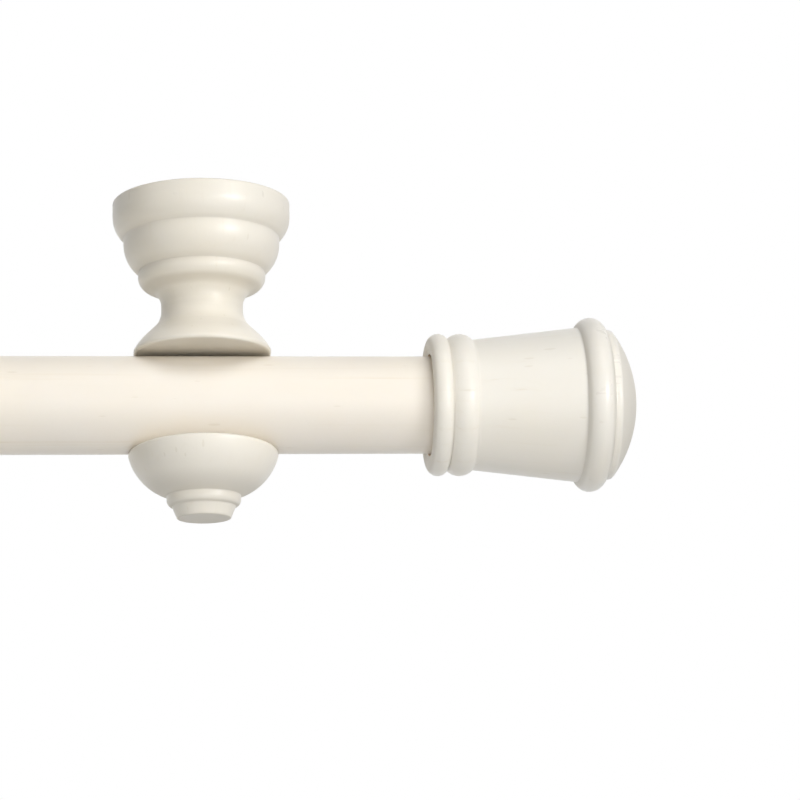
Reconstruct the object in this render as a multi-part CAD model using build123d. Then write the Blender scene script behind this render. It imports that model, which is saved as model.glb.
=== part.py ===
from build123d import *
import math
import os

# A ceiling-hung curtain rod of painted turned wood: a solid rod in two slotted brackets, a finial on each end,
# and a row of moulded rings. Millimetres. The origin is on the ceiling, midway between the brackets.
# +X runs along the rod, -Y faces the room and +Z points up.

# Rod
ROD_DIAMETER = 28.0
ROD_LENGTH = 1200.0
ROD_END_CHAMFER = 1.0

# Bracket, turned about its upright axis: radii, and heights counted downwards from the ceiling
ROSE_RADIUS = 25.5
ROSE_SIDE_HEIGHT = 4.2
ROSE_ROUND_HEIGHT = 6.4
ROSE_EDGE_ROUND = 0.5
BOWL_RADIUS = 22.4
BOWL_SIDE_HEIGHT = 1.7
BOWL_ROUND_HEIGHT = 8.4
BOWL_FOOT_RADIUS = 18.0
BEAD_RADIUS = 18.2
BEAD_HEIGHT = 4.9
BEAD_CREST_DEPTH = 2.0
BEAD_FOOT_RADIUS = 15.5
COVE_HEIGHT = 4.9
NECK_RADIUS = 11.7
NECK_HEIGHT = 1.7
FLARE_RADIUS = 6.8
FLARE_ANGLE = 45.5
FLARE_SLOPE_LENGTH = 4.0
CUP_RISE_OVER_FLOOR = 3.1
CUP_FLOOR_THICKNESS = 12.1
COLLAR_RADIUS = 10.5
COLLAR_SIDE_HEIGHT = 1.3
COLLAR_ROUND_HEIGHT = 1.8
TIP_TOP_RADIUS = 9.0
TIP_BOTTOM_RADIUS = 7.6
TIP_HEIGHT = 3.4
TIP_EDGE_ROUND = 0.5

# Slot for the rod, open to the front, with a floor that rises towards its front lip
ROOF_BELOW_SHOULDER = 4.9
ROOF_GAP = 0.9
ROD_SEAT_GAP = 0.2
SPINE_THICKNESS = 7.5
SLOT_FLOOR_RISE_ANGLE = 4.5
SLOT_EDGE_ROUND = 0.7

# Threaded insert in the bracket's top, for a ceiling stud
INSERT_RADIUS = 5.0
INSERT_LENGTH = 13.0
INSERT_BORE_RADIUS = 2.5
INSERT_GAP = 0.02

# Countersunk wood screw through the bracket's back into the rod
SCREW_LENGTH = 16.0
SCREW_RADIUS = 1.75
SCREW_HEAD_RADIUS = 3.4
SCREW_POINT_LENGTH = 3.5
SCREW_SINK = 0.6
SCREW_GAP = 0.05
SCREW_CROSS_WIDTH = 0.9
SCREW_CROSS_SPAN = 3.6
SCREW_CROSS_DEPTH = 1.3

# Finial, turned about the rod's axis: walls outside its socket, and lengths counted outwards from its mouth
FINIAL_FROM_BRACKET = 64.7
SOCKET_DEPTH = 22.3
SOCKET_GAP = 0.3
SOCKET_MOUTH_CHAMFER = 0.4
MOUTH_WALL = 1.3
FINIAL_BEAD_WALL = 6.1
FIRST_BEAD_WIDTH = 5.0
FINIAL_GROOVE_WALL = 4.5
SECOND_BEAD_WIDTH = 7.3
CONE_START_WALL = 4.45
CONE_END_WALL = 7.95
CONE_LENGTH = 30.2
ROLL_WALL = 10.7
ROLL_WIDTH = 8.0
ROLL_CREST = 4.85
DOME_WALL = 7.3
DOME_SIDE_LENGTH = 1.8
DOME_CAP_HEIGHT = 7.4
DOME_EDGE_ROUND = 1.2

# Ring, moulded with its hole off centre so that its lower side is thick enough for an eye
RING_COUNT = 10
RING_PLAY = 5.5
RING_THICKNESS = 10.0
RING_HOLE_OFFSET = 1.5
RING_WIDTH = 8.0
RING_EDGE_ROUND = 2.4
RING_HANG_GAP = 0.3
RING_EYE_RADIUS = 2.3
FIRST_RING_FROM_BRACKET = 72.0

# Places along the rod
rod_radius = ROD_DIAMETER / 2
finial_mouth_x = ROD_LENGTH / 2 - SOCKET_DEPTH
bracket_x = finial_mouth_x - FINIAL_FROM_BRACKET
ring_end_x = bracket_x - FIRST_RING_FROM_BRACKET

# Heights and radii of the bracket, from the ceiling down to the rod and the tip
flare_turn = math.radians(FLARE_ANGLE)
slot_back = rod_radius + ROD_SEAT_GAP
bulb_radius = slot_back + SPINE_THICKNESS
flare_end_radius = NECK_RADIUS + FLARE_RADIUS * (1 - math.cos(flare_turn))
shoulder_start_radius = flare_end_radius + FLARE_SLOPE_LENGTH * math.sin(flare_turn)
shoulder_radius = (bulb_radius - shoulder_start_radius) / (1 - math.cos(flare_turn))

bowl_top_z = -ROSE_SIDE_HEIGHT - ROSE_ROUND_HEIGHT
bead_top_z = bowl_top_z - BOWL_SIDE_HEIGHT - BOWL_ROUND_HEIGHT
cove_top_z = bead_top_z - BEAD_HEIGHT
neck_top_z = cove_top_z - COVE_HEIGHT
flare_top_z = neck_top_z - NECK_HEIGHT
flare_end_z = flare_top_z - FLARE_RADIUS * math.sin(flare_turn)
shoulder_top_z = flare_end_z - FLARE_SLOPE_LENGTH * math.cos(flare_turn)
bulb_top_z = shoulder_top_z - shoulder_radius * math.sin(flare_turn)
roof_z = shoulder_top_z - ROOF_BELOW_SHOULDER
rod_z = roof_z - ROOF_GAP - rod_radius
floor_z = rod_z - rod_radius - ROD_SEAT_GAP
cup_top_z = floor_z + CUP_RISE_OVER_FLOOR
collar_top_z = floor_z - CUP_FLOOR_THICKNESS
collar_round_z = collar_top_z - COLLAR_SIDE_HEIGHT
tip_top_z = collar_round_z - COLLAR_ROUND_HEIGHT
tip_bottom_z = tip_top_z - TIP_HEIGHT

screw_head_y = bulb_radius - SCREW_SINK
screw_head_height = SCREW_HEAD_RADIUS - SCREW_RADIUS

# Radii and centre of the rings
ring_hole_radius = rod_radius + RING_PLAY
ring_outer_radius = ring_hole_radius + RING_THICKNESS
ring_hole_z = rod_z + rod_radius + RING_HANG_GAP - ring_hole_radius
ring_centre_z = ring_hole_z - RING_HOLE_OFFSET
ring_eye_z = ring_hole_z - ring_hole_radius - (RING_THICKNESS + RING_HOLE_OFFSET) / 2


def turned_bracket():
    """The bracket as it leaves the lathe, before it is slotted."""
    with BuildSketch(Plane.XZ) as section:
        with BuildLine():
            Line((0, 0), (ROSE_RADIUS, 0))
            Line((ROSE_RADIUS, 0), (ROSE_RADIUS, -ROSE_SIDE_HEIGHT))
            TangentArc((ROSE_RADIUS, -ROSE_SIDE_HEIGHT), (BOWL_RADIUS, bowl_top_z), tangent=(0, -1))
            bowl_side = Line((BOWL_RADIUS, bowl_top_z), (BOWL_RADIUS, bowl_top_z - BOWL_SIDE_HEIGHT))
            TangentArc(bowl_side @ 1, (BOWL_FOOT_RADIUS, bead_top_z), tangent=(0, -1))
            ThreePointArc(
                (BOWL_FOOT_RADIUS, bead_top_z),
                (BEAD_RADIUS, bead_top_z - BEAD_CREST_DEPTH),
                (BEAD_FOOT_RADIUS, cove_top_z),
            )
            TangentArc((NECK_RADIUS, neck_top_z), (BEAD_FOOT_RADIUS, cove_top_z), tangent=(0, 1))
            Line((NECK_RADIUS, neck_top_z), (NECK_RADIUS, flare_top_z))
            TangentArc((NECK_RADIUS, flare_top_z), (flare_end_radius, flare_end_z), tangent=(0, -1))
            slope = Line((flare_end_radius, flare_end_z), (shoulder_start_radius, shoulder_top_z))
            TangentArc(slope @ 1, (bulb_radius, bulb_top_z), tangent=slope % 1)
            Line((bulb_radius, bulb_top_z), (bulb_radius, cup_top_z))
            TangentArc((bulb_radius, cup_top_z), (COLLAR_RADIUS, collar_top_z), tangent=(0, -1))
            Line((COLLAR_RADIUS, collar_top_z), (COLLAR_RADIUS, collar_round_z))
            TangentArc((COLLAR_RADIUS, collar_round_z), (TIP_TOP_RADIUS, tip_top_z), tangent=(0, -1))
            Line((TIP_TOP_RADIUS, tip_top_z), (TIP_BOTTOM_RADIUS, tip_bottom_z))
            Line((TIP_BOTTOM_RADIUS, tip_bottom_z), (0, tip_bottom_z))
            Line((0, tip_bottom_z), (0, 0))
        make_face()
    blank = revolve(section.sketch, Axis.Z)
    rims = blank.edges().filter_by(GeomType.CIRCLE).sort_by(Axis.Z)
    blank = fillet(rims[-1], ROSE_EDGE_ROUND)
    rims = blank.edges().filter_by(GeomType.CIRCLE).sort_by(Axis.Z)
    return fillet(rims[0], TIP_EDGE_ROUND)


def rod_slot():
    """What is milled out for the rod: a half-round back, a level roof, and a floor rising to the front lip."""
    radius = (roof_z - floor_z) / 2
    centre_y = slot_back - radius
    centre_z = (roof_z + floor_z) / 2
    rise = math.radians(SLOT_FLOOR_RISE_ANGLE)
    floor_start = (centre_y - radius * math.sin(rise), centre_z - radius * math.cos(rise))
    front_y = -2 * bulb_radius
    front_floor_z = floor_start[1] + (floor_start[0] - front_y) * math.tan(rise)
    with BuildSketch(Plane.YZ) as section:
        with BuildLine():
            Line((front_y, front_floor_z), floor_start)
            ThreePointArc(floor_start, (slot_back, centre_z), (centre_y, roof_z))
            Line((centre_y, roof_z), (front_y, roof_z))
            Line((front_y, roof_z), (front_y, front_floor_z))
        make_face()
    return extrude(section.sketch, 2 * bulb_radius, both=True)


def screw_outline(gap):
    """The screw's outline as a solid along +Y from its tip to its head, larger all round by gap."""
    length = SCREW_LENGTH + gap
    radius = SCREW_RADIUS + gap
    head_radius = SCREW_HEAD_RADIUS + gap
    with BuildSketch(Plane.XY) as section:
        with BuildLine():
            Polyline(
                (0, -length),
                (radius, SCREW_POINT_LENGTH - length),
                (radius, -screw_head_height),
                (head_radius, 0),
                (0, 0),
                close=True,
            )
        make_face()
    return revolve(section.sketch, Axis.Y)


def bracket():
    """One bracket about its own axis: turned, slotted, and bored for its insert and its rod screw."""
    blank = turned_bracket()
    slot = rod_slot()
    body = blank - slot
    slot_edges = new_edges(blank, slot, combined=body)
    body = fillet(slot_edges, SLOT_EDGE_ROUND)
    screw_place = Pos(0, screw_head_y, rod_z)
    body -= screw_place * screw_outline(SCREW_GAP)
    mouth_radius = SCREW_HEAD_RADIUS + SCREW_GAP
    body -= screw_place * Rot(-90, 0, 0) * Cylinder(
        mouth_radius, 2 * SCREW_SINK, align=(Align.CENTER, Align.CENTER, Align.MIN)
    )
    body -= Cylinder(
        INSERT_RADIUS + INSERT_GAP,
        INSERT_LENGTH + INSERT_GAP,
        align=(Align.CENTER, Align.CENTER, Align.MAX),
    )
    return body


def threaded_insert():
    """A brass sleeve, flush with the bracket's top. Its bore is the thread's core."""
    top = (Align.CENTER, Align.CENTER, Align.MAX)
    return Cylinder(INSERT_RADIUS, INSERT_LENGTH, align=top) - Cylinder(INSERT_BORE_RADIUS, INSERT_LENGTH, align=top)


def rod_screw():
    """A countersunk wood screw with a cross recess, along +Y with its head's face at the origin."""
    screw = screw_outline(0)
    for turn in (0, 90):
        screw -= Rot(0, turn, 0) * Box(
            SCREW_CROSS_SPAN, SCREW_CROSS_DEPTH, SCREW_CROSS_WIDTH, align=(Align.CENTER, Align.MAX, Align.CENTER)
        )
    return screw


def rod():
    """A solid dowel along X with chamfered ends and a pilot hole for each rod screw."""
    dowel = Rot(0, 90, 0) * Cylinder(rod_radius, ROD_LENGTH)
    dowel = chamfer(dowel.edges().filter_by(GeomType.CIRCLE), ROD_END_CHAMFER)
    dowel = Pos(0, 0, rod_z) * dowel
    for side in (-1, 1):
        dowel -= Pos(side * bracket_x, screw_head_y, rod_z) * screw_outline(SCREW_GAP)
    return dowel


def finial():
    """A finial along +X with its mouth at the origin: two beads, a flared cone, a roll and a low dome."""
    socket_radius = rod_radius + SOCKET_GAP
    socket_end = SOCKET_DEPTH + SOCKET_GAP
    mouth = socket_radius + MOUTH_WALL
    bead = socket_radius + FINIAL_BEAD_WALL
    groove = socket_radius + FINIAL_GROOVE_WALL
    cone_start = socket_radius + CONE_START_WALL
    cone_end = socket_radius + CONE_END_WALL
    roll = socket_radius + ROLL_WALL
    dome = socket_radius + DOME_WALL
    groove_x = FIRST_BEAD_WIDTH
    cone_x = groove_x + SECOND_BEAD_WIDTH
    roll_x = cone_x + CONE_LENGTH
    dome_x = roll_x + ROLL_WIDTH
    cap_x = dome_x + DOME_SIDE_LENGTH
    tip_x = cap_x + DOME_CAP_HEIGHT
    cap_ball = (dome**2 + DOME_CAP_HEIGHT**2) / (2 * DOME_CAP_HEIGHT)
    with BuildSketch(Plane.XY) as section:
        with BuildLine():
            Line((socket_end, 0), (socket_end, socket_radius))
            Line((socket_end, socket_radius), (SOCKET_MOUTH_CHAMFER, socket_radius))
            Line((SOCKET_MOUTH_CHAMFER, socket_radius), (0, socket_radius + SOCKET_MOUTH_CHAMFER))
            Line((0, socket_radius + SOCKET_MOUTH_CHAMFER), (0, mouth))
            ThreePointArc((0, mouth), (groove_x / 2, bead), (groove_x, groove))
            ThreePointArc((groove_x, groove), ((groove_x + cone_x) / 2, bead), (cone_x, cone_start))
            Line((cone_x, cone_start), (roll_x, cone_end))
            ThreePointArc((roll_x, cone_end), (roll_x + ROLL_CREST, roll), (dome_x, dome))
            Line((dome_x, dome), (cap_x, dome))
            RadiusArc((cap_x, dome), (tip_x, 0), cap_ball)
            Line((tip_x, 0), (socket_end, 0))
        make_face()
    blank = revolve(section.sketch, Axis.X)
    rims = blank.edges().filter_by(lambda edge: edge.is_closed).sort_by(Axis.X)
    return fillet(rims[-1], DOME_EDGE_ROUND)


def ring():
    """One ring hanging on the rod at x = 0: a rounded band with the rod's hole off centre and an eye below it."""
    middle = (Align.CENTER, Align.CENTER, Align.CENTER)
    across = Rot(0, 90, 0)
    band = Pos(0, 0, ring_centre_z) * across * Cylinder(ring_outer_radius, RING_WIDTH, align=middle)
    band -= Pos(0, 0, ring_hole_z) * across * Cylinder(ring_hole_radius, RING_WIDTH, align=middle)
    band = fillet(band.edges().filter_by(GeomType.CIRCLE), RING_EDGE_ROUND)
    return band - Pos(0, 0, ring_eye_z) * across * Cylinder(RING_EYE_RADIUS, RING_WIDTH, align=middle)


parts = {"rod": rod()}

bracket_solid = bracket()
insert_solid = threaded_insert()
screw_solid = rod_screw()
finial_solid = finial()
for name, side in (("left", -1), ("right", 1)):
    bracket_place = Pos(side * bracket_x, 0, 0)
    parts[f"bracket_{name}"] = bracket_place * bracket_solid
    parts[f"insert_{name}"] = bracket_place * insert_solid
    parts[f"rod_screw_{name}"] = bracket_place * Pos(0, screw_head_y, rod_z) * screw_solid
    outwards = Rot(0, 0, 0 if side > 0 else 180)
    parts[f"finial_{name}"] = Pos(side * finial_mouth_x, 0, rod_z) * outwards * finial_solid

ring_solid = ring()
ring_pitch = 2 * ring_end_x / (RING_COUNT - 1)
for number in range(RING_COUNT):
    parts[f"ring_{number + 1:02d}"] = Pos(number * ring_pitch - ring_end_x, 0, 0) * ring_solid

os.makedirs("parts", exist_ok=True)
for name, part in parts.items():
    export_step(part, f"parts/{name}.step")

print("rod axis", round(rod_z, 3), "bracket x", round(bracket_x, 3), "finial mouth x", round(finial_mouth_x, 3))
print("ring pitch", round(ring_pitch, 3), "ring eye z", round(ring_eye_z, 3), "tip", round(tip_bottom_z, 3))
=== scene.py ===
import math

import bpy
import numpy as np
from mathutils import Matrix, Vector


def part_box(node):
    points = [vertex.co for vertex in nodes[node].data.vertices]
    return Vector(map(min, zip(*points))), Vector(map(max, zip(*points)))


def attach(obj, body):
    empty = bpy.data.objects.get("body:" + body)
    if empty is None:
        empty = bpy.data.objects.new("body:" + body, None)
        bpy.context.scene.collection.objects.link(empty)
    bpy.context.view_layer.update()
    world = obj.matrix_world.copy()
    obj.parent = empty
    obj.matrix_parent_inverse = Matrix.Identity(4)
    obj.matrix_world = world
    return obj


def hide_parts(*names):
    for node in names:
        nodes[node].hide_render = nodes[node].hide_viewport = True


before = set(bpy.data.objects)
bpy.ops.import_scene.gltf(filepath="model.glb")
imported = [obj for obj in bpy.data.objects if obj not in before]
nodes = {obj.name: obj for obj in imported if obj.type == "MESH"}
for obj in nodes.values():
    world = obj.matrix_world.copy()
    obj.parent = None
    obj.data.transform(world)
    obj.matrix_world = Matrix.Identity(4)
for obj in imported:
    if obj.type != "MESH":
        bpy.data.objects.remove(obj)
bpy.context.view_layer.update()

# Rod: a solid hardwood dowel, sanded and sprayed with satin cream paint, so that the long grain still shows
# faintly through the film. Its sawn ends are chamfered, left bare, and hidden in the finials.

rod_low, rod_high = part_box("rod")
rod_axis_z = (rod_low.z + rod_high.z) / 2
rod_radius = (rod_high.z - rod_low.z) / 2
ROD_PAINT = (0.885, 0.828, 0.740, 1)
ROD_END_CHAMFER = 0.001
ROD_SIDES = 144
ROD_STATION_STEP = 0.003



def shader_node(tree, kind, inputs=None, **settings):
    """Add a node, apply its settings, then set or link each input given by name or number."""
    made = tree.nodes.new("ShaderNode" + kind)
    for name, value in settings.items():
        setattr(made, name, value)
    for key, value in (inputs or {}).items():
        named = [socket for socket in made.inputs if socket.enabled and socket.name == key]
        socket = named[0] if named else made.inputs[key]
        if isinstance(value, bpy.types.NodeSocket):
            tree.links.new(value, socket)
        else:
            socket.default_value = value
    return made


def calc(tree, operation, *values):
    """The result of one Math node on numbers or sockets."""
    return shader_node(tree, "Math", dict(enumerate(values)), operation=operation).outputs[0]


def mix(tree, factor, first, second, mode="MIX", kind="RGBA"):
    """Two colours, or two numbers where kind is FLOAT, mixed by a factor."""
    inputs = {"Factor": factor, "A": first, "B": second}
    made = shader_node(tree, "Mix", inputs, data_type=kind, blend_type=mode)
    return next(socket for socket in made.outputs if socket.enabled)


def remap(tree, value, low, high, to_low=0.0, to_high=1.0):
    """A value eased from the range low..high to another range."""
    inputs = {"Value": value, "From Min": low, "From Max": high, "To Min": to_low, "To Max": to_high}
    return shader_node(tree, "MapRange", inputs, interpolation_type="SMOOTHSTEP").outputs[0]


def noise(tree, place, scale, detail=2.0, roughness=0.5):
    """Even noise, 0 to 1, at a place."""
    inputs = {"Vector": place, "Scale": scale, "Detail": detail, "Roughness": roughness}
    return shader_node(tree, "TexNoise", inputs).outputs["Fac"]


def spots(tree, place, scale, channel, least, size, edge):
    """Round spots of mixed size, 1 inside and 0 outside, in the cells whose own random value is above the
    least. Each kind of spot takes its random value from another channel."""
    cells = shader_node(tree, "TexVoronoi", {"Vector": place, "Scale": scale}).outputs
    chosen = shader_node(tree, "SeparateColor", {"Color": cells["Color"]}).outputs[channel]
    radius = remap(tree, chosen, least, 1.0, 0.0, size)
    return remap(tree, calc(tree, "SUBTRACT", radius, cells["Distance"]), 0.0, edge)


def squeezed(tree, place, scale, shift=(0, 0, 0)):
    """A place scaled along each axis, then shifted."""
    return shader_node(tree, "Mapping", {"Vector": place, "Scale": scale, "Location": shift}).outputs[0]


def new_group(name, inputs, outputs):
    """An empty node group with the named sockets, and its input and output nodes."""
    tree = bpy.data.node_groups.new(name, "ShaderNodeTree")
    for direction, sockets in (("INPUT", inputs), ("OUTPUT", outputs)):
        for socket, kind in sockets.items():
            tree.interface.new_socket(socket, in_out=direction, socket_type="NodeSocket" + kind)
    return tree, tree.nodes.new("NodeGroupInput").outputs, tree.nodes.new("NodeGroupOutput").inputs


def new_material(name):
    """A material with an empty tree, its output's surface socket, and the place on the piece."""
    made = bpy.data.materials.new(name)
    made.use_nodes = True
    tree = made.node_tree
    tree.nodes.clear()
    surface = tree.nodes.new("ShaderNodeOutputMaterial").inputs["Surface"]
    place = tree.nodes.new("ShaderNodeTexCoord").outputs["Object"]
    return made, tree, surface, place


def bumped(tree, height, strength, **base):
    """A normal for heights in metres, on the surface's own normal or on the one given as Normal."""
    inputs = {"Height": height, "Strength": strength, "Distance": 1.0, **base}
    return shader_node(tree, "Bump", inputs).outputs[0]


# Paint film: scales in cells per metre, tints that multiply the paint's colour, and reliefs in metres
SATIN_ROUGHNESS = 0.31
SATIN_VARIATION = 0.04
FIBRE_DULLING = 0.07
END_GRAIN_DULLING = 0.2
FILM_REACH = 0.0012
CLOUD_SCALE = 22.0
FIBRE_SCALE = 520.0
PEEL_SCALE = 900.0
DENT_SCALE = 46.0
PIT_SCALE = 400.0
NIB_SCALE = 95.0
CLOUD_TINT = (1.0, 0.985, 0.955, 1)
STREAK_TINT = (0.955, 0.935, 0.895, 1)
CRACK_TINT = (0.90, 0.87, 0.80, 1)
PIT_TINT = (0.88, 0.86, 0.82, 1)
DENT_TINT = (0.955, 0.945, 0.925, 1)
# Partly painted shade: the end-grain tint also darkens the faces that look along the grain, such as domes and
# undersides
END_GRAIN_SHADE_TINT = (0.88, 0.872, 0.86, 1)
# Painted shade: the tint and strength that darken inside corners found by ambient occlusion
CORNER_SHADE_TINT = (0.86, 0.82, 0.74, 1)
THIN_FILM = (0.95, 0.93, 0.88, 1)
NIB_COLOUR = (0.62, 0.57, 0.46, 1)
PIT_STRENGTH = 0.5
DENT_STRENGTH = 0.5
CORNER_SHADE_STRENGTH = 0.4
THIN_STRENGTH = 0.35
NIB_STRENGTH = 0.16
FIBRE_RELIEF = -0.000030
PEEL_RELIEF = 0.000012
DENT_RELIEF = -0.00004
PIT_RELIEF = -0.00003
NIB_RELIEF = 0.00006


def paint_film():
    """Sprayed satin paint over fine grain: clouds in its tint, grain lines, orange peel, shallow dents, short
    pits along the grain, a few nibs, painted shade that darkens inside corners, and a thinner film on edges.
    End grain drinks the paint, so it is duller there and shows no lines. Its darker tint is partly that end
    grain and partly painted shade on the faces that look along the grain."""
    tree, given, made = new_group(
        "paint film",
        {
            "Place": "Vector",
            "Grain Place": "Vector",
            "Pit Place": "Vector",
            "Paint": "Color",
            "Grain": "Float",
            "Shaded End Grain": "Float",
            "Nibs": "Float",
        },
        {"Color": "Color", "Roughness": "Float", "Height": "Float"},
    )
    place = given["Place"]
    long_grain = calc(tree, "SUBTRACT", 1.0, given["Shaded End Grain"])
    clouds = noise(tree, place, CLOUD_SCALE, detail=3.0)
    all_fibres = noise(tree, given["Grain Place"], FIBRE_SCALE, detail=4.0, roughness=0.62)
    fibres = calc(tree, "MULTIPLY", all_fibres, long_grain)
    peel = noise(tree, place, PEEL_SCALE, detail=1.0)
    dents = spots(tree, place, DENT_SCALE, "Green", least=0.7, size=0.12, edge=0.07)
    all_pits = spots(tree, given["Pit Place"], PIT_SCALE, "Blue", least=0.3, size=0.2, edge=0.08)
    pits = calc(tree, "MULTIPLY", all_pits, long_grain)
    all_nibs = spots(tree, place, NIB_SCALE, "Red", least=0.72, size=0.085, edge=0.03)
    nibs = calc(tree, "MULTIPLY", all_nibs, given["Nibs"])
    reach = {"Distance": FILM_REACH}
    # corner finds inside corners for the painted shade, edge finds edges for the thinner film
    corner = shader_node(tree, "AmbientOcclusion", reach, samples=6).outputs["AO"]
    edge = shader_node(tree, "AmbientOcclusion", reach, samples=6, inside=True).outputs["AO"]

    colour = mix(tree, remap(tree, clouds, 0.35, 0.7), given["Paint"], CLOUD_TINT, "MULTIPLY")
    streaks = calc(tree, "MULTIPLY", remap(tree, fibres, 0.55, 0.75), given["Grain"])
    colour = mix(tree, streaks, colour, STREAK_TINT, "MULTIPLY")
    cracks = calc(tree, "MULTIPLY", remap(tree, fibres, 0.70, 0.74), given["Grain"])
    colour = mix(tree, cracks, colour, CRACK_TINT, "MULTIPLY")
    colour = mix(tree, calc(tree, "MULTIPLY", pits, PIT_STRENGTH), colour, PIT_TINT, "MULTIPLY")
    colour = mix(tree, calc(tree, "MULTIPLY", dents, DENT_STRENGTH), colour, DENT_TINT, "MULTIPLY")
    # Faces that look along the grain are darkened: partly end grain taking up paint, partly painted shade
    colour = mix(tree, given["Shaded End Grain"], colour, END_GRAIN_SHADE_TINT, "MULTIPLY")
    # Painted shade: inside corners and grooves are darkened by ambient occlusion
    painted_corner_shade = remap(tree, corner, 0.7, 0.2, 0.0, CORNER_SHADE_STRENGTH)
    colour = mix(tree, painted_corner_shade, colour, CORNER_SHADE_TINT, "MULTIPLY")
    thin = remap(tree, edge, 0.75, 0.35, 0.0, THIN_STRENGTH)
    colour = mix(tree, thin, colour, THIN_FILM)
    colour = mix(tree, calc(tree, "MULTIPLY", nibs, NIB_STRENGTH), colour, NIB_COLOUR)
    tree.links.new(colour, made["Color"])

    glossiest, dullest = SATIN_ROUGHNESS - SATIN_VARIATION, SATIN_ROUGHNESS + SATIN_VARIATION
    satin = remap(tree, clouds, 0.3, 0.7, glossiest, dullest)
    satin = calc(tree, "ADD", satin, remap(tree, fibres, 0.4, 0.8, 0.0, FIBRE_DULLING))
    satin = calc(tree, "MULTIPLY_ADD", given["Shaded End Grain"], END_GRAIN_DULLING, satin)
    tree.links.new(satin, made["Roughness"])

    height = calc(tree, "MULTIPLY", fibres, FIBRE_RELIEF)
    height = calc(tree, "MULTIPLY_ADD", peel, PEEL_RELIEF, height)
    height = calc(tree, "MULTIPLY_ADD", dents, DENT_RELIEF, height)
    height = calc(tree, "MULTIPLY_ADD", pits, PIT_RELIEF, height)
    height = calc(tree, "MULTIPLY_ADD", nibs, NIB_RELIEF, height)
    tree.links.new(height, made["Height"])
    return tree


# Bare wood: the pith's shift from the frame's axis in metres, growth rings in radians per metre, scales in
# cells per metre, and reliefs in metres
PITH_SHIFT = (0, 0.031, 0.083)
PITH_SQUEEZE = 0.04
GROWTH_RINGS = 3900.0
GROWTH_WANDER = 9.0
GROWTH_WANDER_SCALE = 60.0
PORE_SQUEEZE = 0.05
PORE_SCALE = 2600.0
TOOL_MARK_SQUEEZE = 0.1
TOOL_MARK_SCALE = 1500.0
PALE_WOOD = (0.60, 0.44, 0.27, 1)
DARK_WOOD = (0.47, 0.31, 0.17, 1)
PORE_COLOUR = (0.26, 0.16, 0.085, 1)
PORE_STRENGTH = 0.7
PORE_RELIEF = -0.00006
TOOL_MARK_RELIEF = 0.00004


def bare_timber():
    """Sawn or bored hardwood: growth rings about a pith beside the axis, fine pores, and tool marks."""
    tree, given, made = new_group(
        "bare timber", {"Place": "Vector"}, {"Color": "Color", "Roughness": "Float", "Height": "Float"}
    )
    place = given["Place"]
    from_pith = squeezed(tree, place, (PITH_SQUEEZE, 1, 1), PITH_SHIFT)
    across = shader_node(tree, "VectorMath", {0: from_pith}, operation="LENGTH").outputs["Value"]
    wander = calc(tree, "MULTIPLY", noise(tree, from_pith, GROWTH_WANDER_SCALE), GROWTH_WANDER)
    rings = calc(tree, "SINE", calc(tree, "MULTIPLY_ADD", across, GROWTH_RINGS, wander))
    pores = noise(tree, squeezed(tree, place, (PORE_SQUEEZE, 1, 1)), PORE_SCALE)
    mark_place = squeezed(tree, place, (1, TOOL_MARK_SQUEEZE, TOOL_MARK_SQUEEZE))
    marks = noise(tree, mark_place, TOOL_MARK_SCALE, detail=1.0)

    wood = mix(tree, remap(tree, rings, -0.8, 1.0), PALE_WOOD, DARK_WOOD)
    wood = mix(tree, remap(tree, pores, 0.58, 0.75, 0.0, PORE_STRENGTH), wood, PORE_COLOUR)
    tree.links.new(wood, made["Color"])
    tree.links.new(remap(tree, pores, 0.3, 0.8, 0.62, 0.8), made["Roughness"])
    height = calc(tree, "MULTIPLY", pores, PORE_RELIEF)
    tree.links.new(calc(tree, "MULTIPLY_ADD", marks, TOOL_MARK_RELIEF, height), made["Height"])
    return tree


paint_film_group = paint_film()
bare_timber_group = bare_timber()

# Painted wood: the radius that the film gives a corner in metres, how far the grain and its pits are drawn
# out, and the tilt towards the grain's axis at which end grain, with its painted shade, starts and is full
PAINT_FILLET = 0.001
GRAIN_SQUEEZE = 0.02
PIT_SQUEEZE = 0.2
END_GRAIN_FROM = 0.6
END_GRAIN_FULL = 0.9


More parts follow.
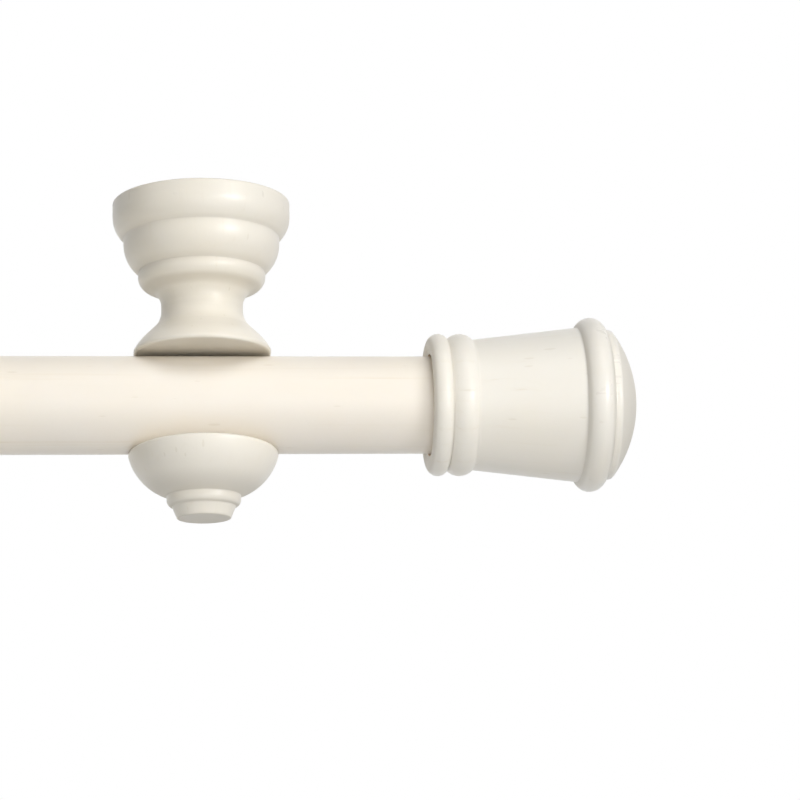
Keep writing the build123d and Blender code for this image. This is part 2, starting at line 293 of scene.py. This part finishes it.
def painted_material(name, paint, grain_axis, grain, nibs, bare_inside=None):
    """Satin paint that fills corners and rounds edges, on wood whose grain runs along an axis.
    bare_inside gives a mask of unpainted wood."""
    made, tree, surface, place = new_material(name)
    grain_scale = [GRAIN_SQUEEZE if axis == grain_axis else 1 for axis in "XYZ"]
    pit_scale = [PIT_SQUEEZE if axis == grain_axis else 1 for axis in "XYZ"]
    normal = tree.nodes.new("ShaderNodeNewGeometry").outputs["Normal"]
    along_grain = shader_node(tree, "SeparateXYZ", {0: normal}).outputs[grain_axis]
    film_inputs = {
        "Place": place,
        "Grain Place": squeezed(tree, place, grain_scale),
        "Pit Place": squeezed(tree, place, pit_scale),
        "Paint": paint,
        "Grain": grain,
        "Shaded End Grain": remap(tree, calc(tree, "ABSOLUTE", along_grain), END_GRAIN_FROM, END_GRAIN_FULL),
        "Nibs": nibs,
    }
    film = shader_node(tree, "Group", film_inputs, node_tree=paint_film_group).outputs
    colour, roughness, height = film["Color"], film["Roughness"], film["Height"]
    if bare_inside:
        bare = bare_inside(tree, place)
        timber = shader_node(tree, "Group", {"Place": place}, node_tree=bare_timber_group).outputs
        colour = mix(tree, bare, colour, timber["Color"])
        roughness = mix(tree, bare, roughness, timber["Roughness"], kind="FLOAT")
        height = mix(tree, bare, height, timber["Height"], kind="FLOAT")
    filled = shader_node(tree, "Bevel", {"Radius": PAINT_FILLET}, samples=6).outputs[0]
    satin_inputs = {
        "Base Color": colour,
        "Roughness": roughness,
        "Normal": bumped(tree, height, 0.7, Normal=filled),
        "IOR": 1.45,
        "Specular IOR Level": 0.8,
        "Subsurface Weight": 0.06,
        "Subsurface Radius": (0.002, 0.0016, 0.001),
        "Subsurface Scale": 0.5,
    }
    tree.links.new(shader_node(tree, "BsdfPrincipled", satin_inputs).outputs[0], surface)
    return made


def timber_material(name):
    """Bare wood all over."""
    made, tree, surface, place = new_material(name)
    timber = shader_node(tree, "Group", {"Place": place}, node_tree=bare_timber_group).outputs
    wood_inputs = {
        "Base Color": timber["Color"],
        "Roughness": timber["Roughness"],
        "Normal": bumped(tree, timber["Height"], 0.8),
    }
    tree.links.new(shader_node(tree, "BsdfPrincipled", wood_inputs).outputs[0], surface)
    return made


SHARP_CORNER = math.radians(30)


def smooth_piece(name, points, faces, materials):
    """A new piece of the scene with smooth faces and sharp corners."""
    mesh = bpy.data.meshes.new(name)
    mesh.from_pydata(points, [], faces)
    mesh.polygons.foreach_set("use_smooth", [True] * len(mesh.polygons))
    mesh.set_sharp_from_angle(angle=SHARP_CORNER)
    for material in materials:
        mesh.materials.append(material)
    piece = bpy.data.objects.new(name, mesh)
    bpy.context.scene.collection.objects.link(piece)
    return piece


def wall_faces(rows, sides):
    """Four-sided faces between rows of points that run round an axis."""
    faces = []
    for start in range(0, (rows - 1) * sides, sides):
        for k in range(sides):
            beside = (k + 1) % sides
            faces.append((start + k, start + beside, start + sides + beside, start + sides + k))
    return faces


# The dowel's waviness in metres, and its two waves in radians per metre
ROD_WAVINESS = 0.00003
ROD_SHORT_WAVE = 31.0
ROD_LONG_WAVE = 13.7
ROD_WAVE_SHIFT = 1.1

rod_run = np.arange(rod_low.x + ROD_END_CHAMFER, rod_high.x - ROD_END_CHAMFER, ROD_STATION_STEP)
rod_beat = np.sin(rod_run * ROD_SHORT_WAVE) * np.sin(rod_run * ROD_LONG_WAVE + ROD_WAVE_SHIFT)
rod_wave = ROD_WAVINESS * (rod_beat - 1)
rod_stations = [(rod_low.x, rod_radius - ROD_END_CHAMFER)]
rod_stations += [(float(x), rod_radius + float(wave)) for x, wave in zip(rod_run, rod_wave)]
rod_stations += [(rod_high.x - ROD_END_CHAMFER, rod_radius), (rod_high.x, rod_radius - ROD_END_CHAMFER)]
rod_turns = np.linspace(0, 2 * math.pi, ROD_SIDES, endpoint=False)
rod_points = [
    (x, radius * math.cos(turn), rod_axis_z + radius * math.sin(turn))
    for x, radius in rod_stations
    for turn in rod_turns
]
rod_faces = wall_faces(len(rod_stations), ROD_SIDES)
rod_faces.append(tuple(range(ROD_SIDES - 1, -1, -1)))
rod_faces.append(tuple(range(len(rod_points) - ROD_SIDES, len(rod_points))))
rod_paint = painted_material("rod cream paint", ROD_PAINT, "X", grain=0.6, nibs=0.25)
rod_end_wood = timber_material("rod end grain")
rod_piece = smooth_piece("rod_painted", rod_points, rod_faces, [rod_paint, rod_end_wood])
for end in rod_piece.data.polygons[-2:]:
    end.material_index = 1
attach(rod_piece, "fixed_rail")
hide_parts("rod")

# Brackets: hardwood pedestals turned with upright grain, slotted from the front for the rod, sanded and
# sprayed with the same satin paint. Each hangs from a stud in its top and holds the rod with a screw from
# behind.

BRACKET_PAINT = (0.830, 0.788, 0.700, 1)


def dress(names, material):
    """Give CAD nodes one material."""
    for name in names:
        nodes[name].data.materials.clear()
        nodes[name].data.materials.append(material)


bracket_paint = painted_material("bracket cream paint", BRACKET_PAINT, "Z", grain=0.35, nibs=0.4)
dress(["bracket_left", "bracket_right"], bracket_paint)

# Finials: turned from the same wood with two beads, a flared cone, a roll and a low dome, sprayed in the
# lathe, so a few nibs stay in the film. The bored socket is bare and slips over the rod's end.

FINIAL_PAINT = (0.862, 0.826, 0.748, 1)
SOCKET_RADIUS = 0.01462
SOCKET_END_X = 0.601


def in_socket(tree, place):
    """1 on the socket's wall and end, which lie nearer to the axis and to the rod than any painted face."""
    off_axis = squeezed(tree, place, (0, 1, 1), (0, 0, -rod_axis_z))
    radius = shader_node(tree, "VectorMath", {0: off_axis}, operation="LENGTH").outputs["Value"]
    along = calc(tree, "ABSOLUTE", shader_node(tree, "SeparateXYZ", {0: place}).outputs["X"])
    near_axis = calc(tree, "LESS_THAN", radius, SOCKET_RADIUS)
    return calc(tree, "MULTIPLY", near_axis, calc(tree, "LESS_THAN", along, SOCKET_END_X))


finial_paint = painted_material(
    "finial cream paint", FINIAL_PAINT, "X", grain=0.4, nibs=1.0, bare_inside=in_socket
)
dress(["finial_left", "finial_right"], finial_paint)

# Threaded inserts: turned brass sleeves screwed flush into the bracket tops. A tap has cut the stud's metric
# thread into each bore, and a small countersink leads into it.

BRIGHT_BRASS = (0.80, 0.58, 0.25, 1)
TARNISHED_BRASS = (0.58, 0.39, 0.16, 1)
TURNING_SCALE = 900.0
TURNING_SQUEEZE = (1, 1, 6)
TURNING_RELIEF = 0.00003
TARNISH_SCALE = 300.0
THREAD_PITCH = 0.001
THREAD_CORE_RADIUS = 0.0025
THREAD_DEPTH = 0.0005
THREAD_LEAD_IN = 0.0007
THREAD_SIDES = 48
THREAD_STEPS_PER_TURN = 8

insert_brass, tree, surface, place = new_material("insert brass")
turning = noise(tree, squeezed(tree, place, TURNING_SQUEEZE), TURNING_SCALE, detail=3.0)
tarnish = noise(tree, place, TARNISH_SCALE, detail=4.0)
brass_inputs = {
    "Base Color": mix(tree, remap(tree, tarnish, 0.35, 0.7), BRIGHT_BRASS, TARNISHED_BRASS),
    "Metallic": 1.0,
    "Roughness": remap(tree, tarnish, 0.3, 0.8, 0.26, 0.45),
    "Normal": bumped(tree, calc(tree, "MULTIPLY", turning, TURNING_RELIEF), 0.6),
}
tree.links.new(shader_node(tree, "BsdfPrincipled", brass_inputs).outputs[0], surface)


def tapped_radius(turn, depth):
    """Radius of the tapped bore at a turn, in whole turns, and a depth below the insert's top."""
    along_thread = (depth / THREAD_PITCH + turn) % 1
    groove = THREAD_DEPTH * (1 - abs(2 * along_thread - 1))
    return THREAD_CORE_RADIUS + max(groove, THREAD_LEAD_IN - depth)


for side in ("left", "right"):
    low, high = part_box(f"insert_{side}")
    centre = (low + high) / 2
    outer_radius = (high.x - low.x) / 2
    length = high.z - low.z
    turns = [k / THREAD_SIDES for k in range(THREAD_SIDES)]
    depths = np.linspace(0, length, round(length / THREAD_PITCH * THREAD_STEPS_PER_TURN) + 1).tolist()
    wall = [(tapped_radius(turn, depth), turn, depth) for depth in depths for turn in turns]
    wall += [(outer_radius, turn, depth) for depth in (length, 0) for turn in turns]
    sleeve_points = [
        (
            centre.x + radius * math.cos(2 * math.pi * turn),
            centre.y + radius * math.sin(2 * math.pi * turn),
            high.z - depth,
        )
        for radius, turn, depth in wall
    ]
    sleeve_faces = wall_faces(len(depths) + 2, THREAD_SIDES)
    outer_top = len(wall) - THREAD_SIDES
    for k in range(THREAD_SIDES):
        beside = (k + 1) % THREAD_SIDES
        sleeve_faces.append((outer_top + k, outer_top + beside, beside, k))
    sleeve = smooth_piece(f"insert_{side}_tapped", sleeve_points, sleeve_faces, [insert_brass])
    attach(sleeve, "fixed_rail")
    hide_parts(f"insert_{side}")

# Rod screws: zinc-plated countersunk wood screws, cold-headed with a cross recess, driven through the bracket
# backs into the rod.

BRIGHT_ZINC = (0.66, 0.67, 0.67, 1)
DULL_ZINC = (0.46, 0.47, 0.48, 1)
SPANGLE_SCALE = 1400.0
SPANGLE_RELIEF = 0.00002

screw_zinc, tree, surface, place = new_material("screw zinc plate")
spangle = noise(tree, place, SPANGLE_SCALE, detail=3.0)
zinc_inputs = {
    "Base Color": mix(tree, remap(tree, spangle, 0.3, 0.75), BRIGHT_ZINC, DULL_ZINC),
    "Metallic": 1.0,
    "Roughness": remap(tree, spangle, 0.3, 0.8, 0.24, 0.42),
    "Normal": bumped(tree, calc(tree, "MULTIPLY", spangle, SPANGLE_RELIEF), 0.5),
}
tree.links.new(shader_node(tree, "BsdfPrincipled", zinc_inputs).outputs[0], surface)
dress(["rod_screw_left", "rod_screw_right"], screw_zinc)

# Rings: off-white plastic, moulded in one piece with an eye for a hook in the thick lower side. A faint
# parting line runs round the middle of each band.

RING_PITCH = 0.098
RING_PLASTIC = (0.880, 0.872, 0.805, 1)
RING_CLOUDY = (0.85, 0.85, 0.775, 1)
RING_SCUFFED = (0.78, 0.765, 0.70, 1)
PARTING_HALF_WIDTH = 0.00025
PARTING_CREST = 0.00008
PARTING_RELIEF = 0.00008
FLOW_SCALE = 45.0
SCUFF_SCALE = 700.0
SCUFF_SQUEEZE = (0.3, 1, 1)
SCUFF_RELIEF = 0.00002

ring_plastic, tree, surface, place = new_material("ring plastic")
flow = noise(tree, place, FLOW_SCALE, detail=3.0)
scuffs = noise(tree, squeezed(tree, place, SCUFF_SQUEEZE), SCUFF_SCALE, detail=4.0)
along = calc(tree, "ADD", shader_node(tree, "SeparateXYZ", {0: place}).outputs["X"], RING_PITCH / 2)
from_middle = calc(tree, "ABSOLUTE", calc(tree, "WRAP", along, RING_PITCH / 2, -RING_PITCH / 2))
parting = remap(tree, from_middle, PARTING_HALF_WIDTH, PARTING_CREST)
milky = mix(tree, remap(tree, flow, 0.35, 0.7), RING_PLASTIC, RING_CLOUDY)
height = calc(tree, "MULTIPLY_ADD", scuffs, SCUFF_RELIEF, calc(tree, "MULTIPLY", parting, PARTING_RELIEF))
plastic_inputs = {
    "Base Color": mix(tree, remap(tree, scuffs, 0.6, 0.8, 0.0, 0.35), milky, RING_SCUFFED),
    "Roughness": remap(tree, scuffs, 0.35, 0.8, 0.30, 0.48),
    "Normal": bumped(tree, height, 0.7),
    "Subsurface Weight": 0.25,
    "Subsurface Radius": (0.004, 0.004, 0.003),
    "Subsurface Scale": 0.8,
}
tree.links.new(shader_node(tree, "BsdfPrincipled", plastic_inputs).outputs[0], surface)
dress([name for name in nodes if name.startswith("ring_")], ring_plastic)

# Stage: a pale floor well below the hanging rod, white surroundings, three broad soft lights far off, a row
# of small soft lamps close to the rod's front, and the camera below the rod's right end.

FLOOR_Z = -0.8
FLOOR_REACH = 9.0
FLOOR_PALE = (0.80, 0.80, 0.80, 1)
FLOOR_SHADED = (0.77, 0.77, 0.765, 1)
FLOOR_CLOUD_SCALE = 3.0
FLOOR_WHITE_SHARE = 0.5
FLOOR_FADE_FROM = 0.6
FLOOR_FADE_TO = 3.0
WHITE = (1, 1, 1, 1)
AMBIENT = 0.05

floor_corners = [(-FLOOR_REACH, -FLOOR_REACH), (FLOOR_REACH, -FLOOR_REACH)]
floor_corners += [(FLOOR_REACH, FLOOR_REACH), (-FLOOR_REACH, FLOOR_REACH)]
floor_mesh = bpy.data.meshes.new("floor")
floor_mesh.from_pydata([(x, y, FLOOR_Z) for x, y in floor_corners], [], [(0, 1, 2, 3)])
floor = bpy.data.objects.new("floor", floor_mesh)
bpy.context.scene.collection.objects.link(floor)


def sees_background(tree):
    """1 for the camera's rays and for those that gloss or glass sends on, 0 for the light on surfaces."""
    path = tree.nodes.new("ShaderNodeLightPath").outputs
    seen = calc(tree, "MAXIMUM", path["Is Camera Ray"], path["Is Glossy Ray"])
    return calc(tree, "MAXIMUM", seen, path["Is Transmission Ray"])


floor_pale, tree, surface, place = new_material("floor pale")
floor_clouds = noise(tree, place, FLOOR_CLOUD_SCALE)
grey = mix(tree, remap(tree, floor_clouds, 0.3, 0.7), FLOOR_PALE, FLOOR_SHADED)
matt = shader_node(tree, "BsdfDiffuse", {"Color": grey}).outputs[0]
white = shader_node(tree, "Emission", {"Color": WHITE, "Strength": 1.0}).outputs[0]
clear = shader_node(tree, "BsdfTransparent").outputs[0]
on_floor = squeezed(tree, place, (1, 1, 0))
distance = shader_node(tree, "VectorMath", {0: on_floor}, operation="LENGTH").outputs["Value"]
white_share = remap(tree, distance, FLOOR_FADE_FROM, FLOOR_FADE_TO, FLOOR_WHITE_SHARE)
faded = calc(tree, "MULTIPLY", white_share, sees_background(tree))
seen = shader_node(tree, "MixShader", {0: faded, 1: matt, 2: white}).outputs[0]
behind = tree.nodes.new("ShaderNodeNewGeometry").outputs["Backfacing"]
tree.links.new(shader_node(tree, "MixShader", {0: behind, 1: seen, 2: clear}).outputs[0], surface)
floor_mesh.materials.append(floor_pale)

world = bpy.data.worlds.new("studio")
bpy.context.scene.world = world
world.use_nodes = True
tree = world.node_tree
tree.nodes.clear()
soft = shader_node(tree, "Background", {"Color": WHITE, "Strength": AMBIENT}).outputs[0]
white = shader_node(tree, "Background", {"Color": WHITE, "Strength": 1.0}).outputs[0]
both = shader_node(tree, "MixShader", {0: sees_background(tree), 1: soft, 2: white}).outputs[0]
tree.links.new(both, tree.nodes.new("ShaderNodeOutputWorld").inputs["Surface"])

# Soft suns: azimuth to the right of the rod's front, elevation and spread in degrees, strength, and glints
SUNS = {
    "key": (38, 3, 22, 1.12, True),
    "top": (24, 50, 40, 1.43, False),
    "back": (180, 25, 40, 1.7, False),
}
# Near lamps: place from the rod's axis, with x mirrored on the left, size in metres, and power in watts
NEAR_PLACE = Vector((0.055, -0.27, -0.03))
NEAR_SIZE = 0.2
NEAR_POWER = 0.25

bracket_x = sum(corner.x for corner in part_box("bracket_right")) / 2
aim = Vector((bracket_x, 0, rod_axis_z))


def hang_lamp(name, kind, towards, place, glints, settings):
    """A lamp at a place, facing against the direction that it lies in, with or without glints on gloss."""
    data = bpy.data.lights.new(name, kind)
    for setting, value in settings.items():
        setattr(data, setting, value)
    lamp = bpy.data.objects.new(name, data)
    lamp.location = place
    lamp.rotation_mode = "QUATERNION"
    lamp.rotation_quaternion = towards.to_track_quat("Z", "Y")
    lamp.visible_camera = False
    lamp.visible_glossy = glints
    bpy.context.scene.collection.objects.link(lamp)


for name, (azimuth, elevation, spread, strength, glints) in SUNS.items():
    turn, rise = math.radians(azimuth), math.radians(elevation)
    towards = Vector((math.sin(turn) * math.cos(rise), -math.cos(turn) * math.cos(rise), math.sin(rise)))
    settings = {"angle": math.radians(spread), "energy": strength}
    hang_lamp(name, "SUN", towards, aim + towards, glints, settings)
for name, side in (("left", -1), ("middle", 0), ("right", 1)):
    towards = Vector((side * NEAR_PLACE.x, NEAR_PLACE.y, NEAR_PLACE.z))
    place = Vector((side * bracket_x, 0, rod_axis_z)) + towards
    hang_lamp(f"near {name}", "AREA", towards, place, False, {"size": NEAR_SIZE, "energy": NEAR_POWER})

# Camera: lengths in pixels of the picture, angles in degrees, and where the right bracket's rod axis shows
PICTURE_PIXELS = 800
FOCAL_PIXELS = 2800
ROD_PIXELS = 98.5
AIM_PIXEL = (203.0, 405.3)
CAMERA_PITCH = 13.3
CAMERA_YAW = 6.3
CAMERA_ROLL = 1.5

pitch, yaw, roll = (math.radians(angle) for angle in (CAMERA_PITCH, CAMERA_YAW, CAMERA_ROLL))
forward = Vector((math.sin(yaw) * math.cos(pitch), math.cos(yaw) * math.cos(pitch), math.sin(pitch)))
level_right = Vector((math.cos(yaw), -math.sin(yaw), 0))
level_up = level_right.cross(forward)
right = level_right * math.cos(roll) - level_up * math.sin(roll)
up = level_up * math.cos(roll) + level_right * math.sin(roll)
offset_right = (AIM_PIXEL[0] - PICTURE_PIXELS / 2) / FOCAL_PIXELS
offset_up = (PICTURE_PIXELS / 2 - AIM_PIXEL[1]) / FOCAL_PIXELS
depth = FOCAL_PIXELS * 2 * rod_radius / ROD_PIXELS
camera_place = aim - (forward + right * offset_right + up * offset_up) * depth
camera_facing = Matrix((right, up, -forward)).transposed().to_4x4()

camera_data = bpy.data.cameras.new("camera")
camera_data.sensor_width = 36.0
camera_data.lens = camera_data.sensor_width * FOCAL_PIXELS / PICTURE_PIXELS
camera_data.clip_end = 100.0
camera = bpy.data.objects.new("camera", camera_data)
bpy.context.scene.collection.objects.link(camera)
camera.matrix_world = Matrix.Translation(camera_place) @ camera_facing
bpy.context.scene.camera = camera
bpy.context.scene.view_settings.view_transform = "Standard"
